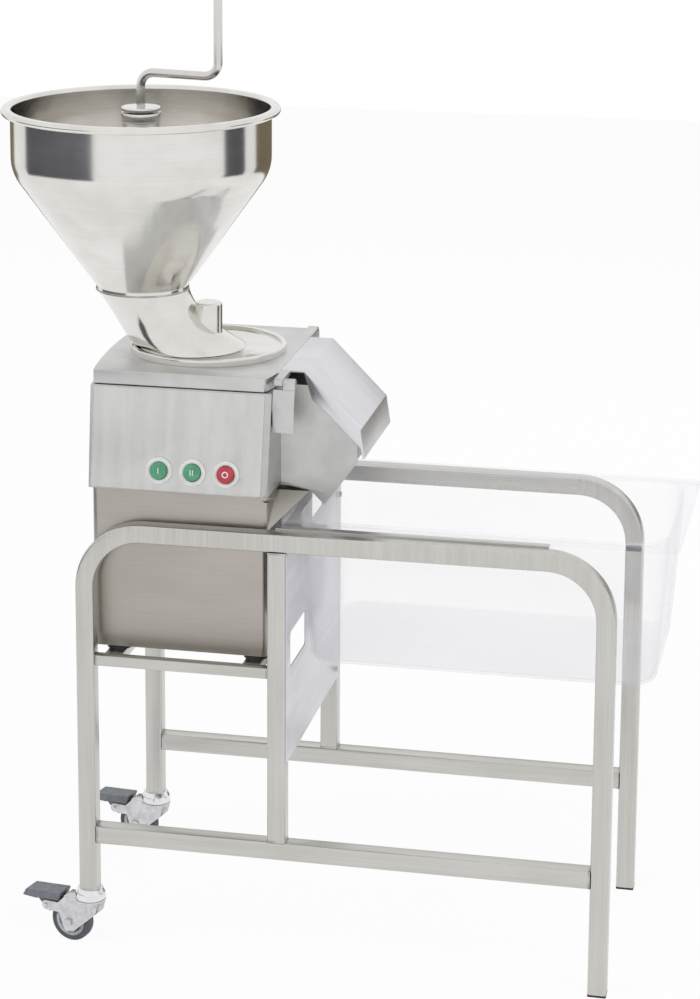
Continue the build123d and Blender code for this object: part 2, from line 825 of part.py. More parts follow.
# Latch tab: bent strip that hangs from the latch arm on its own pin
tab_left = -66.5
tab_right = -37.5
tab_sheet = 3.0
tab_face = -153.0
tab_foot = 745.0
knuckle_left = latch_arm_left + latch_arm_width + 0.4
with BuildPart() as latch_tab:
    with BuildSketch(Plane.YZ.offset(tab_left)):
        with BuildLine():
            Polyline(
                (tab_face, tab_foot),
                (tab_face, 781.0),
                (latch_y - 7, latch_z - 8),
                (latch_y - 4, latch_z - 8),
                (tab_face + tab_sheet, 781.0),
                (tab_face + tab_sheet, tab_foot),
                close=True,
            )
        make_face()
    extrude(amount=tab_right - tab_left)
    with BuildSketch(Plane.YZ.offset(knuckle_left)):
        with Locations((latch_y, latch_z)):
            Circle(6.0)
        with BuildLine():
            Polyline(
                (latch_y - 7, latch_z - 8.5),
                (latch_y - 6, latch_z),
                (latch_y, latch_z),
                (latch_y - 4, latch_z - 8.5),
                close=True,
            )
        make_face()
    extrude(amount=tab_right - knuckle_left)
    with BuildSketch(Plane.YZ.offset(latch_arm_left)):
        with Locations((latch_y, latch_z)):
            Circle(latch_pin_radius)
    extrude(amount=tab_right - latch_arm_left)
save(latch_tab.part, "latch_tab")

# Latch sensor block on the housing, behind the tab
with BuildPart() as latch_sensor:
    box_between((housing_right, -147.0, 752.0), (-46.0, -133.0, 770.0))
    fillet(latch_sensor.edges().filter_by(Axis.X), radius=2.0)
save(latch_sensor.part, "latch_sensor")

# Lid hinge brackets: an ear with its pin beside each lug, on the housing's rear wall
bracket_width = 12.0
for end, lug_x, side_way in (("left", lug_places[0], 1), ("right", lug_places[1], -1)):
    ear_low = lug_x + lug_width + 0.5 if side_way > 0 else lug_x - 0.5 - bracket_width
    pin_low = lug_x if side_way > 0 else lug_x - 0.5 - bracket_width
    with BuildPart() as bracket:
        with BuildSketch(Plane.YZ.offset(ear_low)):
            with BuildLine():
                Polyline(
                    (housing_rear, 770.0),
                    (housing_rear, 795.0),
                    (hinge_y - 8, hinge_z),
                    (hinge_y, hinge_z),
                    (hinge_y + 8, hinge_z),
                    close=True,
                )
            make_face()
            with Locations((hinge_y, hinge_z)):
                Circle(8.0)
        extrude(amount=bracket_width)
        with BuildSketch(Plane.YZ.offset(pin_low)):
            with Locations((hinge_y, hinge_z)):
                Circle(pin_radius)
        extrude(amount=lug_width + 0.5 + bracket_width)
    save(bracket.part, f"{end}_hinge_bracket")


def placed_caster_piece(piece, sign):
    """Turn a piece built about the swivel axis to the rest direction and move it under its leg."""
    return Pos(frame_left + tube / 2, sign * rail_y, 0) * Rotation(0, 0, caster_swivel) * piece


# Caster heads: the chromed swivel housings fixed under the left legs, with the plug inside the tube
with BuildPart() as caster_head:
    with BuildSketch(Plane.XZ):
        with BuildLine():
            Polyline((0, 68.0), (20.5, 68.0), (21.5, 72.0), (21.0, 78.0), (17.0, caster_height), (0, caster_height),
                     close=True)
        make_face()
    revolve(axis=Axis.Z)
    with BuildSketch(Plane.XY.offset(caster_height)):
        Rectangle(tube - 2 * tube_wall, tube - 2 * tube_wall)
    extrude(amount=20.0)

# Caster forks: a top plate and two cheeks that trail back to the axle, with the pedal's lobe
fork_inner = wheel_width / 2 + 1.5
fork_sheet = 2.0
lobe_x = -65.0
lobe_z = 48.0
lobe_radius = 7.0
axle_radius = 4.0
with BuildPart() as caster_fork:
    with BuildSketch(Plane.XY.offset(65.0)):
        Circle(21.0)
        with Locations((-18.0, 0)):
            Rectangle(36.0, 2 * (fork_inner + fork_sheet))
    extrude(amount=2.6)
    for sign in (-1, 1):
        with BuildSketch(Plane.XZ.offset(-sign * (fork_inner + fork_sheet / 2))):
            with BuildLine():
                Polyline(
                    (18.0, 65.5),
                    (13.0, 48.0),
                    (-21.0, 17.0),
                    (-34.0, 15.0),
                    (-39.0, 24.0),
                    (-44.0, lobe_z - lobe_radius),
                    (lobe_x, lobe_z - lobe_radius),
                    (lobe_x, lobe_z + lobe_radius),
                    (-46.0, 55.5),
                    (-36.0, 65.5),
                    close=True,
                )
            make_face()
            with Locations((lobe_x, lobe_z)):
                Circle(lobe_radius)
        extrude(amount=fork_sheet / 2, both=True)
    for x, z, radius in ((-caster_trail, wheel_radius, axle_radius), (lobe_x, lobe_z, 2.5)):
        with BuildSketch(Plane.XZ.offset(-(fork_inner + fork_sheet + 2))):
            with Locations((x, z)):
                Circle(radius)
        extrude(amount=2 * (fork_inner + fork_sheet + 2))

# Caster wheels: hub with its pale thread ring, and the tyre
with BuildPart() as wheel_hub:
    with BuildSketch(Plane.XY):
        with BuildLine():
            Polyline(
                (axle_radius + 0.05, -9.5),
                (9.0, -9.5),
                (9.0, -5.0),
                (16.0, -5.0),
                (17.5, -7.5),
                (22.0, -7.5),
                (22.0, 7.5),
                (17.5, 7.5),
                (16.0, 5.0),
                (9.0, 5.0),
                (9.0, 9.5),
                (axle_radius + 0.05, 9.5),
                close=True,
            )
        make_face()
    revolve(axis=Axis.Y)
with BuildPart() as wheel_tyre:
    with BuildSketch(Plane.XY):
        with BuildLine():
            FilletPolyline((22.0, -8.0), (27.5, -9.0), (wheel_radius, -5.5), (wheel_radius, 5.5), (27.5, 9.0),
                           (22.0, 8.0), radius=1.5)
            Line((22.0, 8.0), (22.0, -8.0))
        make_face()
    revolve(axis=Axis.Y)

# Brake pedals: moulded lever behind the fork, with a tongue round the lobe's pin and a nose that meets the tyre
with BuildPart() as brake_pedal:
    with BuildSketch(Plane.XZ.offset(-15.0)):
        with BuildLine():
            FilletPolyline(
                (-102.0, 57.0),
                (-96.0, 67.0),
                (-66.0, 69.0),
                (-40.0, 71.0),
                (-44.5, 58.5),
                (-70.0, 58.0),
                (-80.0, 56.0),
                radius=1.5,
                close=True,
            )
        make_face()
    extrude(amount=30.0)
    with BuildSketch(Plane.XZ.offset(-(fork_inner - 0.5))):
        with BuildLine():
            Polyline(
                (-82.0, 58.0),
                (lobe_x - 6, lobe_z - 2),
                (lobe_x + 5, lobe_z - 10),
                (lobe_x + 6.4, lobe_z),
                (-52.0, 60.0),
                close=True,
            )
        make_face()
        with Locations((lobe_x, lobe_z)):
            Circle(6.5)
            Circle(2.55, mode=Mode.SUBTRACT)
    extrude(amount=2 * fork_inner - 1.0)

axle_place = Pos(-caster_trail, 0, wheel_radius)
for side, sign in side_sign.items():
    save(Pos(frame_left + tube / 2, sign * rail_y, 0) * caster_head.part, f"{side}_caster_head")
    save(placed_caster_piece(caster_fork.part, sign), f"{side}_caster_fork")
    save(placed_caster_piece(axle_place * wheel_hub.part, sign), f"{side}_wheel_hub")
    save(placed_caster_piece(axle_place * wheel_tyre.part, sign), f"{side}_wheel_tyre")
    save(placed_caster_piece(brake_pedal.part, sign), f"{side}_brake_pedal")

# Food container: clear moulded tub with tapered walls and a turned-down rim
pan_left = pan_right - pan_length
pan_x = (pan_left + pan_right) / 2
rim_web = 3.0
pan_bottom = pan_top - pan_depth
rim_end = 16.0
rim_side = 11.0
wall_taper = 15.0


def pan_form(inset, low_z, high_z):
    """The tub's tapered form between two levels, drawn in by inset."""
    with BuildPart() as form:
        for z in (low_z, high_z):
            depth = (pan_top - z) / pan_depth
            with BuildSketch(Plane.XY.offset(z)):
                with Locations((pan_x, 0)):
                    RectangleRounded(
                        pan_length - 2 * (rim_end + wall_taper * depth + inset),
                        pan_width - 2 * (rim_side + wall_taper * depth + inset),
                        48.0 - 8.0 * depth - inset,
                    )
        loft()
    return form.part


tub_outside = pan_form(0.0, pan_bottom, pan_top)
with BuildPart() as tub_hollow:
    add(pan_form(pan_wall, pan_bottom + pan_wall, pan_top + 1))
    fillet(tub_hollow.faces().sort_by(Axis.Z)[0].edges(), radius=7.0)
with BuildPart() as pan:
    add(tub_outside)
    fillet(pan.faces().sort_by(Axis.Z)[0].edges(), radius=9.0)
    with BuildSketch(Plane.XY.offset(pan_top - 8)):
        with Locations((pan_x, 0)):
            RectangleRounded(pan_length, pan_width, 12.0)
            RectangleRounded(pan_length - 5, pan_width - 5, 9.5, mode=Mode.SUBTRACT)
    extrude(amount=8.0)
    with BuildSketch(Plane.XY.offset(pan_top - rim_web)):
        with Locations((pan_x, 0)):
            RectangleRounded(pan_length, pan_width, 12.0)
    extrude(amount=rim_web)
    add(tub_hollow.part, mode=Mode.SUBTRACT)
save(pan.part, "pan")
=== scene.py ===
import math

import bmesh
import bpy
from mathutils import Matrix, Vector


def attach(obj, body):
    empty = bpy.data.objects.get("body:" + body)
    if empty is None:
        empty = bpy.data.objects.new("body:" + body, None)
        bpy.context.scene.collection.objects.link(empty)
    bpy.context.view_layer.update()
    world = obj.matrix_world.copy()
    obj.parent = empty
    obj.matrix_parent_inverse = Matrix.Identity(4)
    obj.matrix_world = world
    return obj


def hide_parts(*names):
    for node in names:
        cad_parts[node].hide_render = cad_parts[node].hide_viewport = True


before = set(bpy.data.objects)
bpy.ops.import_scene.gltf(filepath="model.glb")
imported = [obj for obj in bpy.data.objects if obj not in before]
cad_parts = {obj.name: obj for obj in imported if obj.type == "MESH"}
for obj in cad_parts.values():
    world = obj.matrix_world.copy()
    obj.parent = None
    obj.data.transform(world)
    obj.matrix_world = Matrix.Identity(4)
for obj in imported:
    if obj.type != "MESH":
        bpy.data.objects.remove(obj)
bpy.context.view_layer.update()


# The camera stands a little to the right of the machine and above its rails, with a long lens, and is held so that
# the rails fall away to the right. Its place and lens were worked out from the stand's tubes and the container.
camera_data = bpy.data.cameras.new("photo_camera")
camera_data.lens = 106.36
camera_data.shift_x = 0.1085
camera_data.shift_y = -0.2114
camera_data.clip_end = 60.0
camera = bpy.data.objects.new("photo_camera", camera_data)
bpy.context.scene.collection.objects.link(camera)
to_right = Vector((0.97340, 0.22909, -0.00213))
to_top = Vector((-0.04831, 0.21435, 0.97556))
to_back = Vector((0.22395, -0.94951, 0.21972))
standpoint = Vector((0.76184, -3.84966, 1.79290))
turned_to_view = Matrix((to_right, to_top, to_back)).transposed().to_4x4()
camera.matrix_world = Matrix.Translation(standpoint) @ turned_to_view
bpy.context.scene.camera = camera


# The two side hoops of the stand are each one length of square stainless tube, cold bent over two large bends and
# belt ground along its length. A caster is plugged into the left leg and a black cap into the right one.
MIDDLE_Y = -8.7


def at(x, y, z):
    """A place in millimetres from the stand's middle plane, as a point in the frame."""
    return Vector((x, y + MIDDLE_Y, z)) / 1000


class Strand:
    """A value on its way through a finish. Arithmetic on it adds the nodes."""

    def __init__(self, finish, socket):
        self.finish = finish
        self.socket = socket

    def __add__(self, other):
        return self.finish.math("ADD", self, other)

    def __radd__(self, other):
        return self.finish.math("ADD", other, self)

    def __sub__(self, other):
        return self.finish.math("SUBTRACT", self, other)

    def __rsub__(self, other):
        return self.finish.math("SUBTRACT", other, self)

    def __mul__(self, other):
        return self.finish.math("MULTIPLY", self, other)

    def __rmul__(self, other):
        return self.finish.math("MULTIPLY", other, self)


class Finish:
    """One surface finish, built up from nodes over the piece's own coordinates."""

    def __init__(self, name):
        self.material = bpy.data.materials.new(name)
        self.material.use_nodes = True
        self.tree = self.material.node_tree
        self.tree.nodes.clear()
        self.place = self.node("ShaderNodeTexCoord", out="Object")

    def node(self, kind, settings=None, inputs=None, out=0):
        made = self.tree.nodes.new(kind)
        for key, value in (settings or {}).items():
            setattr(made, key, value)
        for key, value in (inputs or {}).items():
            if isinstance(value, Strand):
                self.tree.links.new(value.socket, made.inputs[key])
            else:
                made.inputs[key].default_value = value
        return Strand(self, made.outputs[out]) if made.outputs else made

    def math(self, operation, first, second=0.0, third=0.0):
        return self.node("ShaderNodeMath", {"operation": operation}, {0: first, 1: second, 2: third})

    def step(self, value, low, high):
        """Nought below low, one above high, and smooth between."""
        settings = {"interpolation_type": "SMOOTHSTEP"}
        return self.node("ShaderNodeMapRange", settings, {"Value": value, "From Min": low, "From Max": high})

    def blend(self, factor, first, second):
        """A colour between two colours."""
        sides = [c if isinstance(c, Strand) else (*c, 1.0) for c in (first, second)]
        return self.node("ShaderNodeMix", {"data_type": "RGBA"}, {0: factor, 6: sides[0], 7: sides[1]}, out=2)

    def cloud(self, scale, detail=3.0, place=None, rough=0.5):
        """Noise stretched differently along the three axes."""
        spot = place or self.place
        stretched = self.node("ShaderNodeMapping", None, {"Vector": spot, "Scale": scale})
        inputs = {"Vector": stretched, "Scale": 1.0, "Detail": detail, "Roughness": rough}
        return self.node("ShaderNodeTexNoise", None, inputs)

    def axes(self):
        """The three coordinates of the place, one by one."""
        split = self.node("ShaderNodeSeparateXYZ", None, {"Vector": self.place})
        outputs = split.socket.node.outputs
        return [Strand(self, outputs[i]) for i in range(3)]

    def done(self, colour, roughness, metallic=0.0, height=None, relief=0.0001, **fixed):
        """The surface itself, with fine relief from a height and the settings that are the same all over."""
        base = colour if isinstance(colour, Strand) else (*colour, 1.0)
        inputs = {"Base Color": base, "Roughness": roughness, "Metallic": metallic}
        if height is not None:
            inputs["Normal"] = self.node("ShaderNodeBump", None, {"Height": height, "Distance": relief})
        for key, value in fixed.items():
            inputs[key.replace("_", " ")] = value
        surface = self.node("ShaderNodeBsdfPrincipled", None, inputs)
        self.node("ShaderNodeOutputMaterial", None, {"Surface": surface})
        return self.material


def ground_steel(name, grain, light=(0.66, 0.65, 0.62), dark=(0.54, 0.53, 0.50), roughness=0.30):
    """Stainless steel belt ground along one axis, with faint darker patches from heat and handling."""
    steel = Finish(name)
    along = 9.0
    across = 1500.0
    hairs = steel.cloud([along if i == grain else across for i in range(3)], 4.0)
    bands = steel.cloud([3.0 if i == grain else 90.0 for i in range(3)], 2.0)
    patches = steel.cloud((7.0, 7.0, 7.0), 3.0)
    tone = steel.step(hairs * 0.45 + bands * 0.25 + patches * 0.3, 0.34, 0.66)
    colour = steel.blend(tone, dark, light)
    return steel.done(colour, hairs * 0.16 + patches * 0.08 + (roughness - 0.12), 1.0, hairs, 0.00004)


def clear_choice():
    """Leave edit mode and choose nothing."""
    if bpy.context.object and bpy.context.object.mode != "OBJECT":
        bpy.ops.object.mode_set(mode="OBJECT")
    bpy.ops.object.select_all(action="DESELECT")


def take_up(name):
    """Name the primitive that was just added and open it for editing."""
    piece = bpy.context.object
    piece.name = name
    bpy.ops.object.transform_apply(location=True, rotation=True, scale=True)
    bpy.ops.object.mode_set(mode="EDIT")
    return piece


def choose(piece, kind, test):
    """Choose the vertices, edges or faces of an open piece whose place and direction pass a test."""
    bpy.ops.mesh.select_mode(type=kind)
    bpy.ops.mesh.select_all(action="DESELECT")
    shape = bmesh.from_edit_mesh(piece.data)
    if kind == "VERT":
        found = [v for v in shape.verts if test(v.co, None)]
    elif kind == "EDGE":
        found = []
        for edge in shape.edges:
            first, second = (v.co for v in edge.verts)
            if test((first + second) / 2, (second - first).normalized()):
                found.append(edge)
    else:
        found = [f for f in shape.faces if test(f.calc_center_median(), f.normal)]
    for part in found:
        part.select_set(True)
    bmesh.update_edit_mesh(piece.data)


def carry(route):
    """Carry the chosen face along straight runs and round bends, leaving the walls behind it."""
    for step in route:
        if isinstance(step, Vector):
            bpy.ops.mesh.extrude_region_move(TRANSFORM_OT_translate={"value": step})
        else:
            centre, axis, angle, steps = step
            bpy.ops.mesh.spin(steps=steps, angle=angle, center=centre, axis=axis)


def close_up():
    """Merge what lies together in an open piece and turn its faces outwards."""
    bpy.ops.mesh.select_all(action="SELECT")
    bpy.ops.mesh.remove_doubles(threshold=0.000002)
    bpy.ops.mesh.normals_make_consistent(inside=False)


def settle(piece, body, finish, replaced=(), smooth=35.0):
    """Shade a piece, give it its finish and fix it to its body."""
    clear_choice()
    piece.select_set(True)
    bpy.context.view_layer.objects.active = piece
    bpy.ops.object.shade_smooth_by_angle(angle=math.radians(smooth))
    piece.data.materials.clear()
    piece.data.materials.append(finish)
    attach(piece, body)
    if replaced:
        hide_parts(*replaced)
    return piece


tube_width = 0.025
tube_corner = 0.003
bend = 0.0795
hoop_steel = ground_steel("ground_hoop_steel", 2)
rail_steel = ground_steel("ground_rail_steel", 0)
for side, y in (("near", -177.5), ("far", 177.5)):
    clear_choice()
    bpy.ops.mesh.primitive_plane_add(size=tube_width, location=at(-319.5, y, 84))
    hoop = take_up(f"{side}_hoop_tube")
    bpy.ops.mesh.bevel(offset=tube_corner, segments=4, affect="VERTICES")
    choose(hoop, "FACE", lambda place, normal: True)
    quarter = math.pi / 2
    left_bend = at(-240, y, 523)
    right_bend = at(306, y, 523)
    carry((
        Vector((0, 0, 0.439)),
        (left_bend, (0, -1, 0), quarter, 14),
        Vector((0.546, 0, 0)),
        (right_bend, (0, -1, 0), quarter, 14),
        Vector((0, 0, -0.520)),
    ))
    close_up()
    settle(hoop, "stand", hoop_steel, (f"{side}_hoop",))


# The straight members of the stand are shorter lengths of the same tube, cut square and butt welded between the
# hoops: a post and a lower rail on each side, lighter rails and bars under the machine, and a tie between the posts.
def tube_run(name, low, high, axis, corner=tube_corner):
    """A straight tube between two corners in millimetres, with its four long edges rounded."""
    clear_choice()
    low, high = at(*low), at(*high)
    bpy.ops.mesh.primitive_cube_add(size=1.0, location=(low + high) / 2, scale=high - low)
    run = take_up(name)
    choose(run, "EDGE", lambda place, way: abs(way[axis]) > 0.9)
    bpy.ops.mesh.bevel(offset=corner, segments=4, affect="EDGES")
    return run


post_steel = ground_steel("ground_post_steel", 2)
cross_steel = ground_steel("ground_cross_steel", 1)
for side, sign in (("near", -1), ("far", 1)):
    inner, outer = sorted((sign * 165, sign * 190))
    post = tube_run(f"{side}_post_tube", (-66, inner, 178.5), (-41, outer, 590), 2)
    settle(post, "stand", post_steel, (f"{side}_post",))
    rail = tube_run(f"{side}_lower_rail_tube", (-307, inner, 153.5), (373, outer, 178.5), 0)
    settle(rail, "stand", rail_steel, (f"{side}_lower_rail",))
    inner, outer = sorted((sign * 170, sign * 185))
    shelf_rail = tube_run(f"{side}_shelf_rail_tube", (-307, inner, 410.5), (-66, outer, 425.5), 0, 0.002)
    settle(shelf_rail, "stand", rail_steel, (f"{side}_shelf_rail",))
for end, x in (("left", -284), ("right", -92)):
    bar = tube_run(f"{end}_shelf_bar_tube", (x - 12.5, -170, 410.5), (x + 12.5, 170, 425.5), 1, 0.002)
    settle(bar, "stand", cross_steel, (f"{end}_shelf_bar",))
tie = tube_run("post_tie_tube", (-66, -165, 300), (-41, 165, 325), 1)
settle(tie, "stand", cross_steel, ("post_tie",))


# Each joint of the stand has a thin brushed weld bead round it, a little duller and bluer than the tube. All the
# beads are of one kind, and together they are one piece.
bead_steel = Finish("weld_bead_steel")
ripple = bead_steel.cloud((500.0, 500.0, 500.0), 2.0)
heat = bead_steel.cloud((60.0, 60.0, 60.0), 2.0)
bead_tone = bead_steel.blend(bead_steel.step(heat, 0.4, 0.62), (0.42, 0.40, 0.38), (0.60, 0.59, 0.58))
bead_finish = bead_steel.done(bead_tone, ripple * 0.2 + 0.26, 1.0, ripple, 0.0002)
bead_places = []
for sign in (-1, 1):
    bead_places.append(((-53.5, sign * 177.5, 180.0), 2, 12.9))
    bead_places.append(((-53.5, sign * 177.5, 588.5), 2, 12.9))
    bead_places.append(((-305.5, sign * 177.5, 166.0), 0, 12.9))
    bead_places.append(((371.5, sign * 177.5, 166.0), 0, 12.9))
    bead_places.append(((-305.5, sign * 177.5, 418.0), 0, 7.9))
    bead_places.append(((-67.5, sign * 177.5, 418.0), 0, 7.9))
    bead_places.append(((-53.5, sign * 163.5, 312.5), 1, 12.9))
beads = []
for index, ((x, y, z), axis, half) in enumerate(bead_places):
    thin = [1.5 if i == axis else half for i in range(3)]
    low = (x - thin[0], y - thin[1], z - thin[2])
    high = (x + thin[0], y + thin[1], z + thin[2])
    bead = tube_run(f"weld_bead_{index}", low, high, axis, 0.0033)
    choose(bead, "EDGE", lambda place, way: True)
    bpy.ops.mesh.bevel(offset=0.0004, segments=2, affect="EDGES")
    clear_choice()
    beads.append(bead)
for bead in beads:
    bead.select_set(True)
bpy.context.view_layer.objects.active = beads[0]
bpy.ops.object.join()
beads[0].name = "weld_beads"
settle(beads[0], "stand", bead_finish)


# The container hangs by its rim on two thin angle strips inside the top rails. They are guillotined sheet, tacked on.
def dress(finish, *nodes):
    """Give the finish to solids whose shape stays as it is."""
    for name in nodes:
        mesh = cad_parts[name].data
        mesh.materials.clear()
        mesh.materials.append(finish)


dress(rail_steel, "near_pan_runner", "far_pan_runner")


# The right legs stand on pushed-in end caps of black rubber, and the machine's base on four tapered rubber feet.
black_rubber = Finish("black_rubber")
dust = black_rubber.cloud((120.0, 120.0, 120.0), 4.0)
grain = black_rubber.cloud((1800.0, 1800.0, 1800.0), 2.0)
rubber_tone = black_rubber.blend(black_rubber.step(dust, 0.35, 0.7), (0.012, 0.012, 0.013), (0.035, 0.034, 0.034))
rubber_finish = black_rubber.done(rubber_tone, dust * 0.2 + 0.5, 0.0, grain, 0.00006)
dress(rubber_finish, "near_glide", "far_glide")
dress(rubber_finish, "near_left_foot", "near_right_foot", "far_left_foot", "far_right_foot")


# The divider panel is a flat sheet of pale satin steel behind the middle posts, with a hand slot. Its edges are
# deburred, and it is fixed to the posts and the tie by four button-headed screws, of which the two clear of the near
# post are made.
def softened(node, name, body, finish, width, segments=2, smooth=35.0):
    """A copy of a solid with its edges eased by the width in millimetres, as pressing or casting leaves them."""
    clear_choice()
    piece = bpy.data.objects.new(name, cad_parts[node].data.copy())
    bpy.context.scene.collection.objects.link(piece)
    piece.select_set(True)
    bpy.context.view_layer.objects.active = piece
    if piece.data.has_custom_normals:
        bpy.ops.mesh.customdata_custom_splitnormals_clear()
    bpy.ops.object.mode_set(mode="EDIT")
    bpy.ops.mesh.select_all(action="SELECT")
    bpy.ops.mesh.remove_doubles(threshold=0.000002)
    bpy.ops.mesh.dissolve_limited(angle_limit=math.radians(0.3))
    bpy.ops.object.mode_set(mode="OBJECT")
    if width:
        edge = piece.modifiers.new("eased_edges", "BEVEL")
        edge.limit_method = "ANGLE"
        edge.angle_limit = math.radians(34)
        edge.width = width / 1000
        edge.segments = segments
        edge.use_clamp_overlap = False
        edge.miter_outer = "MITER_ARC"
        bpy.ops.object.modifier_apply(modifier=edge.name)
    return settle(piece, body, finish, (node,), smooth)


def satin_metal(name, light, dark, roughness=0.36, relief=0.00004, streak=(26.0, 26.0, 26.0)):
    """Bead-blasted or finely brushed metal: an even satin with faint clouds and small rubs."""
    metal = Finish(name)
    pits = metal.cloud((1400.0, 1400.0, 1400.0), 3.0)
    clouds = metal.cloud(streak, 3.0)
    rubs = metal.cloud((70.0, 90.0, 60.0), 4.0, None, 0.65)
    tone = metal.step(clouds * 0.7 + rubs * 0.3, 0.36, 0.64)
    gloss = pits * 0.08 + rubs * 0.12 + (roughness - 0.1)
    return metal.done(metal.blend(tone, dark, light), gloss, 1.0, pits, relief)


divider_finish = satin_metal("pale_sheet", (0.74, 0.74, 0.78), (0.68, 0.68, 0.72), 0.38, 0.00003, (8.0, 8.0, 60.0))
softened("divider_panel", "divider_sheet", "stand", divider_finish, 0.4)


# Small button-headed screws with a hexagonal socket hold the divider, the lid's hinge and the base's back; those on
# the divider and the base's back are made here.
def eased(points, steps=6):
    """A profile whose corners are rounded to the radius that stands third in a point."""
    line = []
    for index, point in enumerate(points):
        if len(point) < 3:
            line.append(tuple(point))
            continue
        here = Vector(point[:2])
        first = (Vector(points[index - 1][:2]) - here).normalized()
        second = (Vector(points[(index + 1) % len(points)][:2]) - here).normalized()
        half = first.angle(second) / 2
        centre = here + (first + second).normalized() * point[2] / math.sin(half)
        reach = point[2] / math.tan(half)
        start = here + first * reach - centre
        end = here + second * reach - centre
        turn = start.angle(end)
        for i in range(steps + 1):
            share = i / steps
            spot = (math.sin((1 - share) * turn) * start + math.sin(share * turn) * end) / math.sin(turn)
            line.append(tuple(centre + spot))
    return line


def turned(name, profile, place, steps=64):
    """Spin a profile of radii and heights in millimetres about an upright axis, then put it in its place."""
    clear_choice()
    bpy.ops.mesh.primitive_plane_add(size=0.001)
    piece = take_up(name)
    bpy.ops.mesh.select_mode(type="VERT")
    bpy.ops.mesh.merge(type="CENTER")
    radius, height = profile[0]
    bpy.ops.transform.translate(value=(radius / 1000, 0, height / 1000))
    for (r0, h0), (r1, h1) in zip(profile, profile[1:]):
        step = ((r1 - r0) / 1000, 0, (h1 - h0) / 1000)
        bpy.ops.mesh.extrude_vertices_move(TRANSFORM_OT_translate={"value": step})
    bpy.ops.mesh.select_all(action="SELECT")
    bpy.ops.mesh.spin(steps=steps, angle=2 * math.pi, center=(0, 0, 0), axis=(0, 0, 1))
    close_up()
    clear_choice()
    piece.data.transform(place)
    return piece


def screw(name, place, body, finish, radius=4.2):
    """A button-headed screw with a hexagonal socket, standing along the third axis of its place."""
    clear_choice()
    bpy.ops.mesh.primitive_cylinder_add(vertices=24, radius=radius / 1000, depth=0.0022, location=(0, 0, 0.0011))
    head = take_up(name)
    choose(head, "FACE", lambda spot, normal: normal.z > 0.9)
    bpy.ops.mesh.inset(thickness=0.0006)
    bpy.ops.transform.translate(value=(0, 0, 0.0006))
    bpy.ops.mesh.inset(thickness=radius * 0.4 / 1000)
    bpy.ops.mesh.extrude_region_move(TRANSFORM_OT_translate={"value": (0, 0, -0.0014)})
    clear_choice()
    head.data.transform(place)
    return settle(head, body, finish, (), 30)


def facing(x, y, z, way):
    """A place whose third axis points one way."""
    turn = Vector(way).to_track_quat("Z", "Y").to_matrix().to_4x4()
    return Matrix.Translation(at(x, y, z)) @ turn


screw_steel = satin_metal("screw_steel", (0.62, 0.61, 0.59), (0.48, 0.47, 0.46), 0.26)
for index, (y, z) in enumerate(((-177.5, 570), (162, 570), (-177.5, 312.5), (140, 312.5))):
    if abs(y) < 170:
        screw(f"divider_screw_{index}", facing(-38, y, z, (1, 0, 0)), "stand", screw_steel)
for index, (x, z) in enumerate(((-296, 450), (-92, 450), (-296, 640), (-92, 640))):
    screw(f"base_back_screw_{index}", facing(x, 148, z, (0, 1, 0)), "stand", screw_steel)


# The base round the motor is a folded shell of warm stainless sheet, brushed level, that flares at its right corner
# to reach under the chute. A floor plate with air holes closes it. Towards its bottom edge the shell carries painted
# shade.
shell_steel = Finish("brushed_shell_steel")
strokes = shell_steel.cloud((14.0, 14.0, 1300.0), 4.0)
shading = shell_steel.cloud((5.0, 5.0, 9.0), 2.0)
x, y, z = shell_steel.axes()
# Painted shade: the shell's colour is pulled up to 35% towards a dark brown over its lowest 69 mm, down to its bottom
# edge at 431 mm.
painted_bottom_shade = shell_steel.step(z, 0.50, 0.431)
shell_tone = shell_steel.step(strokes * 0.45 + shading * 0.55, 0.34, 0.66)
shell_colour = shell_steel.blend(shell_tone, (0.43, 0.405, 0.365), (0.50, 0.475, 0.435))
shell_colour = shell_steel.blend(painted_bottom_shade * 0.35, shell_colour, (0.25, 0.235, 0.21))
shell_finish = shell_steel.done(shell_colour, strokes * 0.14 + 0.26, 1.0, strokes, 0.00003)
softened("base_shell", "base_shell_sheet", "stand", shell_finish, 0.5)
dress(shell_finish, "base_floor")


# The upper housing is one casting, bead blasted and satin: a bowed left wall, a leaning front, the round cutting
# chamber and the cheeks of the chute. A thin plate for the buttons is set on its front.
housing_finish = satin_metal("blasted_casting", (0.60, 0.60, 0.59), (0.53, 0.53, 0.52), 0.40, 0.00006)
softened("upper_housing", "housing_casting", "stand", housing_finish, 1.0, 3)
panel_finish = satin_metal("button_plate", (0.68, 0.68, 0.67), (0.62, 0.62, 0.61), 0.36, 0.00003, (60.0, 6.0, 6.0))
softened("control_panel", "button_plate_sheet", "stand", panel_finish, 0.4)


# Three moulded push buttons stand in pale rings on the plate, each with its raised mark: one bar and two bars in
# green to start and run, a ring in red to stop.
def moulded(name, light, dark, roughness=0.38, relief=0.00005):
    """Moulded plastic with a fine spark-eroded skin and a trace of handling."""
    plastic = Finish(name)
    skin = plastic.cloud((1500.0, 1500.0, 1500.0), 2.0)
    wear = plastic.cloud((90.0, 90.0, 90.0), 4.0)
    tone = plastic.blend(plastic.step(wear, 0.35, 0.68), dark, light)
    return plastic.done(tone, wear * 0.2 + (roughness - 0.1), 0.0, skin, relief)


